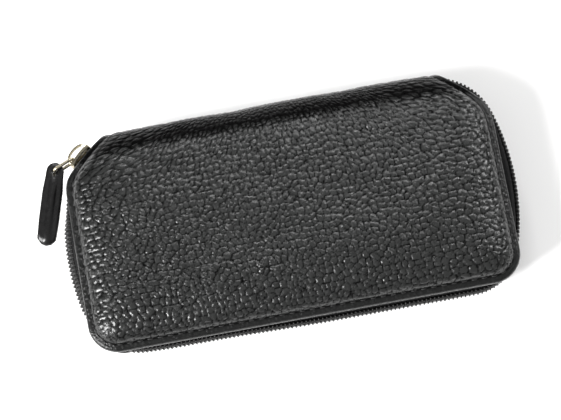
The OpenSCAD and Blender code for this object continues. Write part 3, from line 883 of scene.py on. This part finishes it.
def tab_layer(sign):
    """One leather layer: flat inside, crowned outside, with a hole near its head for the wire."""
    n_ring, n_rad = 96, 12
    far, head_r, tip_r, hole_r = 26.3, 3.4, 4.0, 0.86

    def edge_distance(x, y):
        """How far inside the capsule-like outline a point lies."""
        rad = head_r + (tip_r - head_r) * smoothstep(np.clip(x / far, 0, 1), 0.0, 0.35)
        return rad - np.hypot(x - np.clip(x, 0, far), y)

    # Rays from the hole's centre out to the outline, halved until they meet it.
    a = 2 * np.pi * np.arange(n_ring) / n_ring
    ca, sa = np.cos(a), np.sin(a)
    lo, hi = np.zeros(n_ring), np.full(n_ring, 40.0)
    for _ in range(40):
        half_way = (lo + hi) / 2
        inside = edge_distance(half_way * ca, half_way * sa) > 0
        lo, hi = np.where(inside, half_way, lo), np.where(inside, hi, half_way)
    ring = even_ring(np.stack([lo * ca, lo * sa], 1), n_ring)
    way = np.arctan2(ring[:, 1], ring[:, 0])
    hole = hole_r * np.stack([np.cos(way), np.sin(way)], 1)
    f = np.linspace(0, 1, n_rad)
    grid = hole[None] + (ring - hole)[None] * f[:, None, None]
    x, y = grid[..., 0], grid[..., 1]
    e = np.maximum(edge_distance(x, y), 0)
    ridge = np.exp(-((y / 1.0) ** 2)) - 0.9 * np.exp(-(((np.abs(y) - 1.9) / 0.5) ** 2))
    crown = 0.95 + 0.55 * (1 - np.exp(-e / 0.9))
    crown += 0.34 * ridge * smoothstep(x, 1.0, 6.0) * smoothstep(e, 0.2, 1.6)
    crown -= 0.25 * np.exp(-(((np.hypot(x, y) - hole_r) / 0.7) ** 2))
    crown += 0.05 * value_noise(x, y, 2.2, 31)

    def placed(x, y, z):
        return np.stack([LINK_TIP[0] + TAB_DIR[0] * x + TAB_SIDE[0] * y,
                         LINK_TIP[1] + TAB_DIR[1] * x + TAB_SIDE[1] * y, MID + sign * z], -1)

    top, bottom = placed(x, y, crown), placed(x, y, np.full(x.shape, 0.03))
    # Outer edge rounds down to the glue line.
    grow = ring + (ring / np.maximum(np.linalg.norm(ring, axis=1)[:, None], 1e-9)) * 0.12
    belly = placed(grow[:, 0], grow[:, 1], np.full(n_ring, 0.5))
    verts = np.concatenate([top.reshape(-1, 3), belly, bottom.reshape(-1, 3)])
    faces = grid_faces(n_rad, n_ring, wrap=True)
    base = n_rad * n_ring
    low = base + n_ring
    k = (n_rad - 1) * n_ring
    faces += bridge(k, base, n_ring) + bridge(base, low + k, n_ring) + bridge(low, 0, n_ring)
    faces += grid_faces(n_rad, n_ring, low, flip=True, wrap=True)
    if sign < 0:
        faces = [q[::-1] for q in faces]
    return verts, faces, np.concatenate([grid.reshape(-1, 2), grow, grid.reshape(-1, 2)])


for name, sign, cad in (("pull_upper_leather", 1, "pull_tab_upper"), ("pull_lower_leather", -1, "pull_tab_lower")):
    v, f, flat = tab_layer(sign)
    ob = mesh_object(name, v, f, PULL_MAT, uv=flat)
    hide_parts(cad)
    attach(ob, "pull")


# ---------------------------------------------------------------- inside
LINING = Rim([(3.0, 8.3), (3.3, 9.4), (4.2, 10.9), (5.8, 12.1), (8.0, 12.9), (11.0, 13.4), (15.0, 13.6),
              (RIM_W, 13.7)])


def make_lining():
    """One fabric skin over both bays and the spine between them."""
    rim = LINING
    u = np.linspace(0, rim.across, 190)
    v = np.linspace(0, rim.total, 230)
    gu, gv = np.meshgrid(u, v)
    p, d, _ = layer_point(rim, gu, gv)
    n = normals(p)
    loose = smoothstep(d, 5.0, 12.0) * (0.3 * value_noise(gu, gv, 19.0, 41) + 0.14 * value_noise(gu, gv, 7.0, 43))
    on_spine = (gv > rim.v1) & (gv < rim.v2)
    folds = np.where(on_spine, 0.12 * np.cos((gv - rim.v1) * 2 * np.pi / 5.4), 0.0) * smoothstep(d, 3.2, 9.0)
    top = p + n * (loose * 0.7 + folds)[..., None]
    low = top - n * 0.5
    uv = np.stack([gu, gv], -1).reshape(-1, 2)
    verts, faces = shell(top, low)
    ob = mesh_object("lining_skin", verts, faces, LINING_MAT, uv=uv)
    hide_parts("front_lining", "spine_lining", "back_lining")
    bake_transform(ob)
    return ob


make_lining()


def filling(name, points, thick, sign, cad, body, material):
    """A sheet under the leather on one side of the case."""
    rim = Rim(points)
    u = np.linspace(0, rim.across, 120)
    v = np.linspace(0, rim.v1, 70)
    if sign < 0:
        v = rim.total - v[::-1]
        v[0] = rim.v2 + 1e-6
    gu, gv = np.meshgrid(u, v)
    p = layer_point(rim, gu, gv)[0]
    n = normals(p)
    uv = np.stack([gu, gv], -1).reshape(-1, 2)
    verts, faces = shell(p, p - n * thick)
    ob = mesh_object(name, verts, faces, material, uv=uv)
    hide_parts(cad)
    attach(ob, body)
    return ob


FOAM = [(6.8, 13.2), (7.6, 13.9), (9.4, 14.9), (12.0, 15.75), (16.0, 16.3), (RIM_W, 16.7)]
BOARD = [(11.5, 14.5), (13.0, 14.85), (16.0, 15.15), (RIM_W, 15.4)]
for sd, half in ((1, "front"), (-1, "back")):
    filling(half + "_padding", FOAM, 1.1, sd, half + "_foam", half + "_half", FOAM_MAT)
    filling(half + "_stiffener", BOARD, 0.8, sd, half + "_board", half + "_half", BOARD_MAT)


def make_spine_foam():
    """The soft strip between leather and lining over the spine."""
    a = np.linspace(math.radians(84), -math.radians(84), 41)
    q = np.linspace(-1, 1, 60)
    half = 70 - 13 * np.cos(a)
    grid = lambda r: np.stack([half[:, None] * q[None], SPINE_Y + r * np.cos(a)[:, None] + 0 * q[None],
                               MID + r * np.sin(a)[:, None] + 0 * q[None]], -1)
    uv = np.stack(np.broadcast_arrays(half[:, None] * q[None], (a * 15)[:, None]), -1).reshape(-1, 2)
    verts, faces = shell(grid(16.1), grid(14.9))
    ob = mesh_object("spine_padding", verts, faces, FOAM_MAT, uv=uv)
    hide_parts("spine_foam")
    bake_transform(ob)
    return ob


make_spine_foam()


EDGE_N, PAD_RINGS = 300, 40


def divider_outline(inset, n=16):
    """The divider's edge, rounded at every corner. Its back edge, sewn in at the spine, takes no inset."""
    x, y0, y1 = 76 - inset, -38 + inset, 39.6
    corners = [((x, y0), 10 - inset), ((x, 22 - inset * 0.4), 4), ((60 - inset * 0.6, y1), 4),
               ((-60 + inset * 0.6, y1), 4), ((-x, 22 - inset * 0.4), 4), ((-x, y0), 10 - inset)]
    pts = []
    k = len(corners)
    for i, (c, r) in enumerate(corners):
        c = np.array(c, float)
        p = np.array(corners[i - 1][0], float)
        q = np.array(corners[(i + 1) % k][0], float)
        u, w = (p - c) / np.linalg.norm(p - c), (q - c) / np.linalg.norm(q - c)
        half = math.acos(np.clip(u @ w, -1, 1)) / 2
        back = r / math.tan(half)
        centre = c + (u + w) / np.linalg.norm(u + w) * r / math.sin(half)
        a, b = c + u * back, c + w * back
        a0 = math.atan2(*(a - centre)[::-1])
        a1 = math.atan2(*(b - centre)[::-1])
        d = (a1 - a0 + math.pi) % (2 * math.pi) - math.pi
        for t in np.linspace(0, 1, n):
            pts.append(centre + r * np.array([math.cos(a0 + d * t), math.sin(a0 + d * t)]))
    return even_ring(np.array(pts), EDGE_N)


def divider_pad(name, sign, cad):
    """A thin stuffed leaf with two sewn lines, crowned between them."""
    edge = divider_outline(2.0)
    core = np.column_stack([np.clip(edge[:, 0], -38, 38), np.full(EDGE_N, 0.5)])
    g = np.array([edge * (1 - t) + core * t for t in np.linspace(0, 1, PAD_RINGS)])
    x, y = g[..., 0], g[..., 1]
    dist = np.linalg.norm(g - edge[None], axis=2)
    h = 0.45 + 0.85 * (1 - np.exp(-dist / 2.2)) + 0.12 * value_noise(x, y, 12.0, 51 + sign)
    sewn_x = 25.3
    for line in (-sewn_x, sewn_x):
        h -= 0.5 * np.exp(-(((x - line) / 1.1) ** 2))
    top = np.dstack([g, MID + sign * h])
    low = np.dstack([g, np.full(h.shape, MID + sign * 0.42)])
    k = PAD_RINGS * EDGE_N
    verts = np.concatenate([top.reshape(-1, 3), low.reshape(-1, 3)])
    faces = (grid_faces(PAD_RINGS, EDGE_N, wrap=True)
             + grid_faces(PAD_RINGS, EDGE_N, k, flip=True, wrap=True))
    j = (PAD_RINGS - 1) * EDGE_N
    faces += bridge(k, 0, EDGE_N) + bridge(j, k + j, EDGE_N)
    if sign < 0:
        faces = [q[::-1] for q in faces]
    uv = g.reshape(-1, 2)
    ob = mesh_object(name, verts, faces, DIVIDER_MAT, uv=uv)
    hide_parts(cad)
    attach(ob, "divider")
    return ob


divider_pad("divider_pad_upper", 1, "divider_front_pad")
divider_pad("divider_pad_lower", -1, "divider_back_pad")


def binding():
    """Tape folded over the divider's edge."""
    edge = divider_outline(0.0)
    t = np.roll(edge, -1, 0) - np.roll(edge, 1, 0)
    t /= np.linalg.norm(t, axis=1)[:, None]
    nn = np.column_stack([t[:, 1], -t[:, 0]])
    # Both faces of the folded tape, as distance in from the edge against height over the middle.
    section = [(2.9, 1.32), (1.6, 1.42), (0.6, 1.25), (0.08, 0.7), (0.0, 0.0),
               (0.08, -0.7), (0.6, -1.25), (1.6, -1.42), (2.9, -1.32)]
    skin = [(2.9, 0.98), (1.6, 1.0), (1.0, 0.9), (0.6, 0.5), (0.55, 0.0),
            (0.6, -0.5), (1.0, -0.9), (1.6, -1.0), (2.9, -0.98)]
    rows = len(section)
    outer, inside = [np.array([np.column_stack([edge - nn * d, np.full(EDGE_N, MID + z)]) for d, z in line])
                     for line in (section, skin)]
    m = rows * EDGE_N
    verts = np.concatenate([outer.reshape(-1, 3), inside.reshape(-1, 3)])
    faces = grid_faces(rows, EDGE_N, wrap=True, flip=True) + grid_faces(rows, EDGE_N, m, wrap=True)
    j = (rows - 1) * EDGE_N
    faces += bridge(0, m, EDGE_N) + bridge(m + j, j, EDGE_N)
    s = np.arange(EDGE_N) * 1.5
    uv = np.stack(np.broadcast_arrays(s[None, :], np.arange(rows)[:, None] * 0.8), -1).reshape(-1, 2)
    ob = mesh_object("divider_edge_binding", verts, faces, BIND_MAT, uv=uv)
    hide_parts("divider_binding")
    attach(ob, "divider")
    return ob


binding()


# ---------------------------------------------------------------- floor, light and camera
floor_mat, _, bsdf = new_material("pale_floor")
bsdf.inputs["Base Color"].default_value = (0.95, 0.948, 0.945, 1)
bsdf.inputs["Roughness"].default_value = 0.9
bsdf.inputs["Specular IOR Level"].default_value = 0.1
FLOOR, FLOOR_Z = 3000, -0.05
floor_corners = [(x * FLOOR, y * FLOOR, FLOOR_Z) for x, y in ((-1, -1), (1, -1), (1, 1), (-1, 1))]
floor = mesh_object("floor", floor_corners, [(0, 1, 2, 3)], floor_mat, smooth=False)

world = bpy.data.worlds.new("studio")
bpy.context.scene.world = world
world.use_nodes = True
wt = world.node_tree
toward = node(wt, "ShaderNodeTexCoord")
axes = node(wt, "ShaderNodeSeparateXYZ")
wt.links.new(toward.outputs["Generated"], axes.inputs[0])
# The studio is bright in front of the case and dark behind it, so that the spine turns dark.
sky = ramp(wt, [(0.0, grey(1.0)), (0.26, grey(1.0)), (0.42, grey(0.22)), (1.0, grey(0.2))], axes.outputs["Y"])
wt.links.new(sky.outputs[0], wt.nodes["Background"].inputs[0])
wt.nodes["Background"].inputs[1].default_value = 0.52


def area(name, place, size_x, size_y, power):
    """A rectangular light that faces the case. Places and sizes are in metres."""
    data = bpy.data.lights.new(name, "AREA")
    data.energy = power
    data.shape = "RECTANGLE"
    data.size, data.size_y = size_x, size_y
    ob = bpy.data.objects.new(name, data)
    ob.location = place
    ob.rotation_euler = (Vector((0, 0, 0.02)) - Vector(place)).to_track_quat("-Z", "Y").to_euler()
    bpy.context.scene.collection.objects.link(ob)


area("key_left", (-1.5, -0.62, 1.3), 0.6, 1.0, 86)
area("back_high", (0.15, 1.4, 1.8), 1.2, 0.3, 20)
area("right_fill", (1.5, 0.9, 1.3), 0.4, 0.4, 19)

cam_data = bpy.data.cameras.new("camera")
cam = bpy.data.objects.new("camera", cam_data)
bpy.context.scene.collection.objects.link(cam)
bpy.context.scene.camera = cam
# Fitted to the case's outline in the photo. Lengths are in metres, the lens and sensor in millimetres.
AZ, EL, ROLL, DIST = math.radians(-1.07), math.radians(77.25), math.radians(-9.33), 1.0
AIM_RIGHT, AIM_UP = -0.004354, 0.001273
cam_data.lens = 161.827
cam_data.sensor_width = 36
back_v = Vector((math.sin(AZ) * math.cos(EL), -math.cos(AZ) * math.cos(EL), math.sin(EL)))
right_v = Vector((math.cos(AZ), math.sin(AZ), 0))
up_v = back_v.cross(right_v)
r_v = right_v * math.cos(ROLL) + up_v * math.sin(ROLL)
u_v = -right_v * math.sin(ROLL) + up_v * math.cos(ROLL)
aim = Vector((0, 0, MID * MM)) + r_v * AIM_RIGHT + u_v * AIM_UP
cam.location = aim + back_v * DIST
cam.rotation_mode = "QUATERNION"
cam.rotation_quaternion = Matrix((r_v, u_v, back_v)).transposed().to_quaternion()
cam_data.clip_start, cam_data.clip_end = 0.05, 20

bpy.context.scene.view_settings.view_transform = "Standard"
bpy.context.scene.view_settings.look = "None"
bpy.context.scene.view_settings.exposure = 0.0
